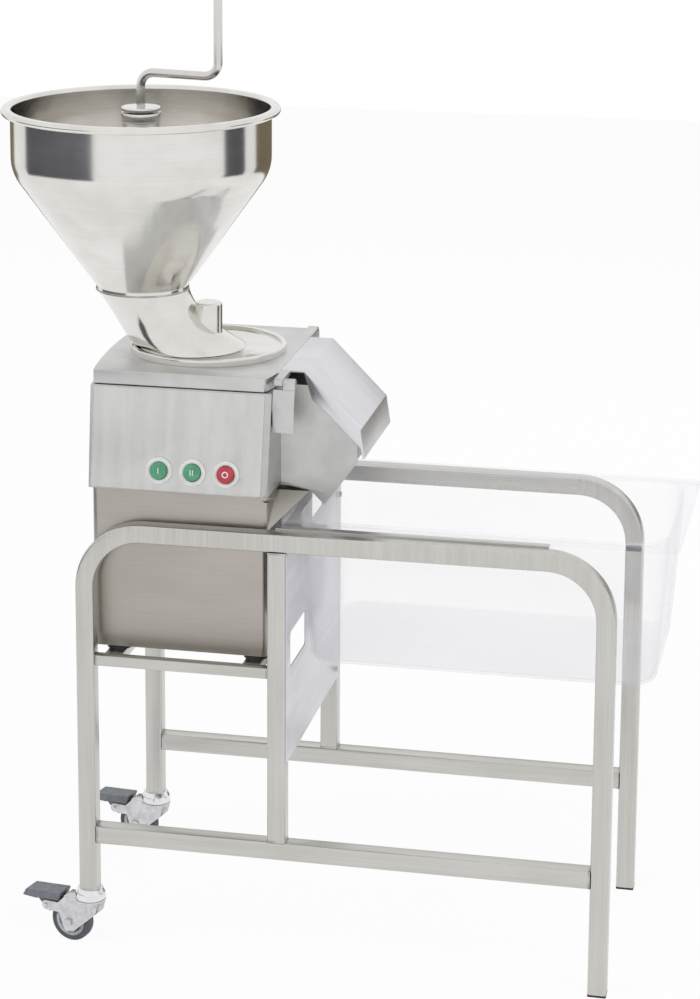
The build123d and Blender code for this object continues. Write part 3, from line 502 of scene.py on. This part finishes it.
lean = math.atan(29 / 136)
plate_up = Vector((0, math.sin(lean), math.cos(lean)))
plate_out = Vector((0, -math.cos(lean), math.sin(lean)))
ring_finish = moulded("pale_ring", (0.74, 0.74, 0.73), (0.66, 0.66, 0.65), 0.34)
mark_finish = moulded("pale_mark", (0.80, 0.82, 0.80), (0.70, 0.72, 0.70), 0.4)
button_looks = {
    "start": ((0.09, 0.33, 0.19), (0.06, 0.25, 0.14), (0.0,)),
    "fast": ((0.09, 0.33, 0.19), (0.06, 0.25, 0.14), (-1.7, 1.7)),
    "stop": ((0.50, 0.05, 0.07), (0.38, 0.03, 0.05), ()),
}
ring_profile = eased(((12.2, 0), (18, 0), (18, 2, 0.9), (12.2, 2, 0.7), (12.2, 0)), 4)
cap_profile = eased(((0, 0.4), (11.7, 0.4), (11.7, 7.5, 1.6), (9.6, 7.1, 2.0), (0, 6.9)), 4)
for index, (name, (light, dark, bars)) in enumerate(button_looks.items()):
    foot = at(-217 + 46 * index, -179, 661) + plate_up * 0.02863
    rows = [(1, 0, 0), plate_up, plate_out]
    spot = Matrix.Translation(foot) @ Matrix(rows).transposed().to_4x4()
    ring = turned(f"{name}_ring", ring_profile, spot @ Matrix.Translation((0, 0, 0.0015)))
    settle(ring, "stand", ring_finish, (f"{name}_bezel",))
    cap = turned(f"{name}_cap", cap_profile, spot)
    settle(cap, f"{name}_button", moulded(f"{name}_plastic", light, dark, 0.3), (f"{name}_button",))
    for number, offset in enumerate(bars):
        clear_choice()
        bpy.ops.mesh.primitive_cube_add(size=1.0, location=(offset / 1000, 0, 0.0071), scale=(0.0014, 0.0075, 0.0008))
        bar = take_up(f"{name}_mark_{number}")
        bpy.ops.mesh.bevel(offset=0.0003, segments=2, affect="EDGES")
        clear_choice()
        bar.data.transform(spot)
        settle(bar, f"{name}_button", mark_finish)
    if not bars:
        circle = eased(((2.8, 6.9), (4.4, 6.9), (4.4, 7.5, 0.3), (2.8, 7.5, 0.3), (2.8, 6.9)), 3)
        settle(turned(f"{name}_mark", circle, spot, 40), f"{name}_button", mark_finish)


# Inside the base hangs a plain flanged motor in dark enamel. Its shaft drives the ejector and the slicing disc,
# which a round cap locks on.
enamel = Finish("dark_enamel")
peel = enamel.cloud((600.0, 600.0, 600.0), 2.0)
grime = enamel.cloud((30.0, 30.0, 50.0), 4.0)
enamel_tone = enamel.blend(enamel.step(grime, 0.35, 0.7), (0.045, 0.055, 0.07), (0.085, 0.095, 0.115))
enamel_finish = enamel.done(enamel_tone, grime * 0.2 + 0.3, 0.0, peel, 0.00008)
dress(enamel_finish, "motor")
cutter_finish = satin_metal("ground_cutter", (0.70, 0.70, 0.70), (0.60, 0.60, 0.60), 0.22, 0.00002)
rotor_finish = satin_metal("cast_rotor", (0.58, 0.58, 0.58), (0.48, 0.48, 0.48), 0.42, 0.00008)
dress(rotor_finish, "motor_flange", "ejector_disc", "disc_cap")
dress(cutter_finish, "drive_shaft", "slicing_disc")


# The lid is a shallow cast tray turned down over the chamber, satin like the housing. The folded sheet hood carries
# it on over the chute and drops in a steep plate. Both swing up on two lugs at the rear.
lid_finish = satin_metal("satin_lid", (0.66, 0.66, 0.655), (0.60, 0.60, 0.595), 0.36, 0.00005)
softened("lid_plate", "lid_casting", "lid", lid_finish, 0.9, 3)
hood_finish = satin_metal("folded_hood", (0.76, 0.76, 0.79), (0.70, 0.70, 0.73), 0.34, 0.00003, (8.0, 50.0, 8.0))
softened("discharge_hood", "hood_sheet", "lid", hood_finish, 0.8, 3)
softened("left_hinge_bracket", "left_hinge_ear", "stand", lid_finish, 0.5)
softened("right_hinge_bracket", "right_hinge_ear", "stand", lid_finish, 0.5)
softened("latch_tab", "latch_strip", "latch", lid_finish, 0.5)
sensor_finish = moulded("sensor_plastic", (0.035, 0.035, 0.038), (0.015, 0.015, 0.017), 0.4)
softened("latch_sensor", "latch_sensor_block", "stand", sensor_finish, 0.6)


# The feed tube is polished sheet that flares down from the hopper's neck to a round flange with a raised ring. The
# short tower over the rotor is welded into its side and brushed on top.
def spun_steel(name, centre_x, light=(0.82, 0.805, 0.775), dark=(0.70, 0.685, 0.65), roughness=0.15):
    """Polished stainless, spun and buffed round an upright axis, with fine ring lines and faint handling marks."""
    steel = Finish(name)
    x, y, z = steel.axes()
    middle = at(centre_x, 0, 0)
    flat_x, flat_y = x - middle.x, y - middle.y
    radius = steel.math("SQRT", flat_x * flat_x + flat_y * flat_y)
    track = steel.node("ShaderNodeCombineXYZ", None, {0: radius * 900.0, 1: z * 900.0, 2: 0.0})
    rings = steel.cloud((1.0, 1.0, 1.0), 3.0, track)
    marks = steel.cloud((22.0, 22.0, 30.0), 4.0)
    smears = steel.cloud((6.0, 6.0, 12.0), 2.0)
    tone = steel.step(rings * 0.3 + marks * 0.35 + smears * 0.35, 0.34, 0.66)
    gloss = rings * 0.06 + smears * 0.10 + (roughness - 0.08)
    return steel.done(steel.blend(tone, dark, light), gloss, 1.0, rings, 0.00001)


tube_finish = spun_steel("polished_feed", -215)
softened("feed_tube", "feed_tube_sheet", "lid", tube_finish, 0.6, 2, 30)
softened("feed_flange", "feed_flange_plate", "lid", tube_finish, 0.4, 2, 30)


# The hopper is spun from one sheet of stainless and mirror polished: a cylinder with a rolled rim, a large soft turn
# and a cone down to the neck, where a weld ring joins it to the feed tube.
hopper_finish = spun_steel("polished_hopper", -284.5)
hopper_place = Matrix.Translation(at(-284.5, 0, 0))
hopper_line = eased((
    (64, 899),
    (64, 904.7, 3),
    (178.5, 1065.2, 59),
    (178.5, 1143, 1.5),
    (191, 1143, 4.9),
    (191, 1153, 4.9),
    (176.5, 1153, 4.9),
    (176.5, 1065.8, 57),
    (62, 905.3, 3),
    (62, 899),
    (64, 899),
), 14)
hopper = turned("hopper_spinning", hopper_line, hopper_place, 160)
settle(hopper, "lid", hopper_finish, ("hopper_bowl", "hopper_cone"), 40)
neck_bead = eased(((63.6, 897.6), (64.6, 897.6, 0.7), (64.6, 900.4, 0.7), (63.6, 900.4), (63.6, 897.6)), 4)
settle(turned("hopper_neck_weld", neck_bead, hopper_place, 120), "lid", bead_finish)


# In the middle of the hopper stands the agitator's bearing tube on three flat arms, with a collar and a loose cap.
# The cap and the cranked rod turn together, and a bar at the rod's foot stirs above the disc.
column_finish = spun_steel("polished_column", -284.5, (0.80, 0.79, 0.77), (0.70, 0.69, 0.67), 0.18)
softened("agitator_column", "agitator_bearing_tube", "lid", column_finish, 0.8, 2, 30)
cap_line = eased(((6.1, 1146), (27, 1146, 0.6), (27, 1151.5, 1.8), (6.1, 1151.5, 0.5), (6.1, 1146)), 4)
settle(turned("agitator_cap_disc", cap_line, hopper_place, 96), "agitator", column_finish, ("agitator_cap",))

rod_finish = spun_steel("polished_rod", -284.5, (0.74, 0.73, 0.71), (0.62, 0.61, 0.59), 0.2)
crank = math.radians(-12)
reach = Vector((math.cos(crank), math.sin(crank), 0))
across = Vector((math.sin(crank), -math.cos(crank), 0))
clear_choice()
bpy.ops.mesh.primitive_circle_add(vertices=32, radius=0.006, fill_type="NGON", location=at(-284.5, 0, 900))
rod = take_up("agitator_crank")
choose(rod, "FACE", lambda place, normal: True)
upright = Vector((0, 0, 1))
lower_bend = at(-284.5, 0, 1179) + reach * 0.02
upper_bend = at(-284.5, 0, 1219) + reach * 0.097
carry((
    upright * 0.279,
    (lower_bend, across, math.pi / 2, 12),
    reach * 0.077,
    (upper_bend, -across, math.pi / 2, 12),
    upright * 0.115,
))
tip = at(-284.5, 0, 1334) + reach * 0.117
for lower, upper in ((0, 30), (30, 55), (55, 75)):
    rise = 0.006 * (math.sin(math.radians(upper)) - math.sin(math.radians(lower)))
    shrink = math.cos(math.radians(upper)) / math.cos(math.radians(lower))
    bpy.ops.mesh.extrude_region_move(TRANSFORM_OT_translate={"value": (0, 0, rise)})
    bpy.ops.transform.resize(value=(shrink, shrink, 1), center_override=tip)
close_up()
settle(rod, "agitator", rod_finish, ("agitator_rod",))
clear_choice()
bpy.ops.mesh.primitive_cube_add(size=1.0, location=(0, 0, 0), scale=(0.096, 0.014, 0.008))
stirrer = take_up("stirring_bar")
choose(stirrer, "EDGE", lambda place, way: abs(way.z) > 0.9)
bpy.ops.mesh.bevel(offset=0.0068, segments=8, affect="EDGES")
choose(stirrer, "EDGE", lambda place, way: abs(way.z) < 0.1 and abs(abs(place.z) - 0.004) < 0.0001)
bpy.ops.mesh.bevel(offset=0.0008, segments=2, affect="EDGES")
clear_choice()
stirrer.data.transform(Matrix.Translation(at(-284.5, 0, 898)) @ Matrix.Rotation(crank, 4, "Z"))
settle(stirrer, "agitator", rod_finish)


# Swivel casters carry the left end: a chromed dome plugged into the leg, a bright zinc fork, a grey tyre on a hub
# with a pale ring, and a moulded brake pedal hinged in the fork's lobe.
chrome_finish = satin_metal("chromed_dome", (0.86, 0.86, 0.87), (0.78, 0.78, 0.79), 0.13, 0.00001)
zinc_finish = satin_metal("bright_zinc", (0.72, 0.72, 0.74), (0.58, 0.58, 0.61), 0.30, 0.00004, (120.0, 120.0, 120.0))
tyre_finish = moulded("grey_tyre", (0.10, 0.11, 0.13), (0.07, 0.078, 0.092), 0.55, 0.0001)
hub_finish = moulded("dark_hub", (0.085, 0.09, 0.10), (0.05, 0.055, 0.065), 0.4)
thread_finish = moulded("pale_thread_ring", (0.52, 0.54, 0.56), (0.42, 0.44, 0.46), 0.42)
pedal_finish = moulded("slate_pedal", (0.19, 0.205, 0.23), (0.14, 0.15, 0.17), 0.4)
dome_line = eased(((0, 68), (20.5, 68, 0.8), (21.5, 72, 3), (21, 78, 4), (17, 84, 1.5), (0, 84)), 5)
tyre_line = eased(((22, -8), (27.5, -9, 2.5), (30, -5.5, 4), (30, 5.5, 4), (27.5, 9, 2.5), (22, 8), (22, -8)), 5)
hub_line = eased((
    (4.05, -9.5), (9, -9.5, 0.8), (9, -5, 0.8), (16.2, -5), (16.2, 5), (9, 5, 0.8), (9, 9.5, 0.8), (4.05, 9.5), (4.05, -9.5)
), 3)
thread_line = eased((
    (16, -5), (17.5, -7.8, 0.8), (22.2, -7.9, 0.3), (22.2, 7.9, 0.3), (17.5, 7.8, 0.8), (16, 5), (16, -5)
), 3)
for side, sign in (("near", -1), ("far", 1)):
    leg = Matrix.Translation(at(-319.5, sign * 177.5, 0)) @ Matrix.Rotation(math.radians(-14), 4, "Z")
    dome = turned(f"{side}_caster_dome", dome_line, leg, 64)
    settle(dome, "stand", chrome_finish, (f"{side}_caster_head",), 40)
    softened(f"{side}_caster_fork", f"{side}_fork_sheet", f"{side}_caster", zinc_finish, 0.4)
    axle = leg @ Matrix.Translation((-0.029, 0, 0.030)) @ Matrix.Rotation(math.pi / 2, 4, "X")
    tyre = turned(f"{side}_tyre", tyre_line, axle, 72)
    settle(tyre, f"{side}_wheel", tyre_finish, (f"{side}_wheel_tyre",), 45)
    settle(turned(f"{side}_hub", hub_line, axle, 64), f"{side}_wheel", hub_finish, (f"{side}_wheel_hub",))
    settle(turned(f"{side}_thread_ring", thread_line, axle, 64), f"{side}_wheel", thread_finish)
    softened(f"{side}_brake_pedal", f"{side}_pedal_moulding", f"{side}_pedal", pedal_finish, 1.0, 3)
    for end, way in (("inner", 1), ("outer", -1)):
        nut_place = leg @ Matrix.Translation((-0.029, way * 0.0125, 0.030))
        nut_place = nut_place @ Matrix.Rotation(-way * math.pi / 2, 4, "X")
        clear_choice()
        bpy.ops.mesh.primitive_cylinder_add(vertices=6, radius=0.0066, depth=0.0036, location=(0, 0, 0.0018))
        nut = take_up(f"{side}_axle_nut_{end}")
        bpy.ops.mesh.bevel(offset=0.0006, segments=2, affect="EDGES")
        clear_choice()
        nut.data.transform(nut_place)
        settle(nut, f"{side}_caster", zinc_finish, (), 30)


# The food container is one clear moulding with tapered walls, rounded corners and a turned-down rim. Against the
# white room it shows only as a faint lavender grey, stronger where its walls are seen along their thickness.
clear_plastic = Finish("clear_polycarbonate")
haze = clear_plastic.cloud((9.0, 9.0, 14.0), 3.0)
scuffs = clear_plastic.cloud((40.0, 40.0, 160.0), 4.0, None, 0.7)
edge_on = clear_plastic.node("ShaderNodeLayerWeight", None, {"Blend": 0.35}, 1)
cover = edge_on * edge_on * 0.5 + haze * 0.05 + 0.02
clear_colour = clear_plastic.blend(clear_plastic.step(haze, 0.35, 0.65), (0.72, 0.72, 0.80), (0.80, 0.80, 0.86))
clear_look = {"Base Color": clear_colour, "Roughness": scuffs * 0.12 + 0.04, "Alpha": cover, "IOR": 1.45}
surface = clear_plastic.node("ShaderNodeBsdfPrincipled", None, clear_look)
clear_plastic.node("ShaderNodeOutputMaterial", None, {"Surface": surface})
softened("pan", "container_moulding", "container", clear_plastic.material, 0.0, 2, 40)


# The room is a plain white floor and surround. Only polished metal sees three dark cards that stand far in front of
# and beside the hopper, as the dark studio does in its sides.
clear_choice()
bpy.ops.mesh.primitive_plane_add(size=14.0)
floor = bpy.context.object
floor.name = "studio_floor"
floor_look = Finish("studio_floor_paint")
light_path = floor_look.node("ShaderNodeLightPath").socket.node.outputs
seen = Strand(floor_look, light_path["Is Camera Ray"])
mirrored = Strand(floor_look, light_path["Is Glossy Ray"])
through = Strand(floor_look, light_path["Is Transmission Ray"])
speckle = floor_look.cloud((3.0, 3.0, 3.0), 2.0)
paint = {"Color": floor_look.blend(speckle, (0.80, 0.80, 0.80), (0.82, 0.82, 0.82)), "Roughness": 0.9}
matt = floor_look.node("ShaderNodeBsdfDiffuse", None, paint)
glow = floor_look.node("ShaderNodeEmission", None, {"Color": (1.0, 1.0, 1.0, 1.0), "Strength": 1.0})
share = floor_look.math("MINIMUM", seen * 0.93 + mirrored * 0.8 + through * 0.93, 1.0)
floor_mix = floor_look.node("ShaderNodeMixShader", None, {0: share, 1: matt, 2: glow})
floor_look.node("ShaderNodeOutputMaterial", None, {"Surface": floor_mix})
floor.data.materials.append(floor_look.material)

card_looks = (
    ("olive_card", -131, -35, (0.20, 0.17, 0.11)),
    ("slate_card", -27, 50, (0.10, 0.10, 0.12)),
    ("side_card", 116, 141, (0.09, 0.09, 0.10)),
)
for name, first, last, tone in card_looks:
    clear_choice()
    bpy.ops.mesh.primitive_plane_add(size=0.01)
    card = bpy.context.object
    card.name = name
    bpy.ops.object.mode_set(mode="EDIT")
    bpy.ops.mesh.select_mode(type="VERT")
    bpy.ops.mesh.merge(type="CENTER")
    start = math.radians(first)
    middle = at(-284.5, 0, 0)
    bpy.ops.transform.translate(value=middle + Vector((3 * math.sin(start), -3 * math.cos(start), 0.08)))
    bpy.ops.mesh.extrude_vertices_move(TRANSFORM_OT_translate={"value": (0, 0, 0.70)})
    bpy.ops.mesh.select_all(action="SELECT")
    arc = math.radians(last - first)
    bpy.ops.mesh.spin(steps=24, angle=arc, center=middle, axis=(0, 0, 1))
    clear_choice()
    card_look = Finish(f"{name}_cloth")
    folds = card_look.cloud((1.5, 1.5, 0.6), 2.0)
    shade = card_look.blend(folds, tuple(0.8 * v for v in tone), tone)
    lit = card_look.node("ShaderNodeEmission", None, {"Color": shade, "Strength": 1.0})
    card_look.node("ShaderNodeOutputMaterial", None, {"Surface": lit})
    card.data.materials.append(card_look.material)
    card.visible_camera = False
    card.visible_diffuse = False
    card.visible_shadow = False
    card.visible_transmission = False

for name, place, size, power in (
    ("left_softbox", (-2.6, -2.6, 3.2), 2.4, 60.0),
    ("right_softbox", (2.8, -1.8, 2.8), 2.2, 38.0),
    ("back_softbox", (0.4, 2.8, 3.0), 2.6, 40.0),
):
    lamp_data = bpy.data.lights.new(name, "AREA")
    lamp_data.size = size
    lamp_data.energy = power
    lamp = bpy.data.objects.new(name, lamp_data)
    lamp.location = place
    lamp.rotation_euler = (Vector((0, 0, 0.7)) - lamp.location).to_track_quat("-Z", "Y").to_euler()
    lamp.visible_glossy = False
    bpy.context.scene.collection.objects.link(lamp)

room = bpy.data.worlds.new("white_room")
bpy.context.scene.world = room
room.use_nodes = True
room_nodes = room.node_tree.nodes
room_nodes.clear()
rays = room_nodes.new("ShaderNodeLightPath")
plain_rays = room_nodes.new("ShaderNodeMath")
plain_rays.operation = "MAXIMUM"
room.node_tree.links.new(rays.outputs["Is Camera Ray"], plain_rays.inputs[0])
room.node_tree.links.new(rays.outputs["Is Transmission Ray"], plain_rays.inputs[1])
level = room_nodes.new("ShaderNodeMath")
level.operation = "MULTIPLY_ADD"
level.inputs[1].default_value = 0.35
level.inputs[2].default_value = 0.65
room.node_tree.links.new(plain_rays.outputs[0], level.inputs[0])
polish = room_nodes.new("ShaderNodeMath")
polish.operation = "MULTIPLY_ADD"
polish.inputs[1].default_value = 0.30
room.node_tree.links.new(rays.outputs["Is Glossy Ray"], polish.inputs[0])
room.node_tree.links.new(level.outputs[0], polish.inputs[2])
sky = room_nodes.new("ShaderNodeBackground")
room.node_tree.links.new(polish.outputs[0], sky.inputs["Strength"])
sky.inputs["Color"].default_value = (1.0, 1.0, 1.0, 1.0)
room_out = room_nodes.new("ShaderNodeOutputWorld")
room.node_tree.links.new(sky.outputs[0], room_out.inputs["Surface"])
bpy.context.scene.view_settings.view_transform = "Standard"
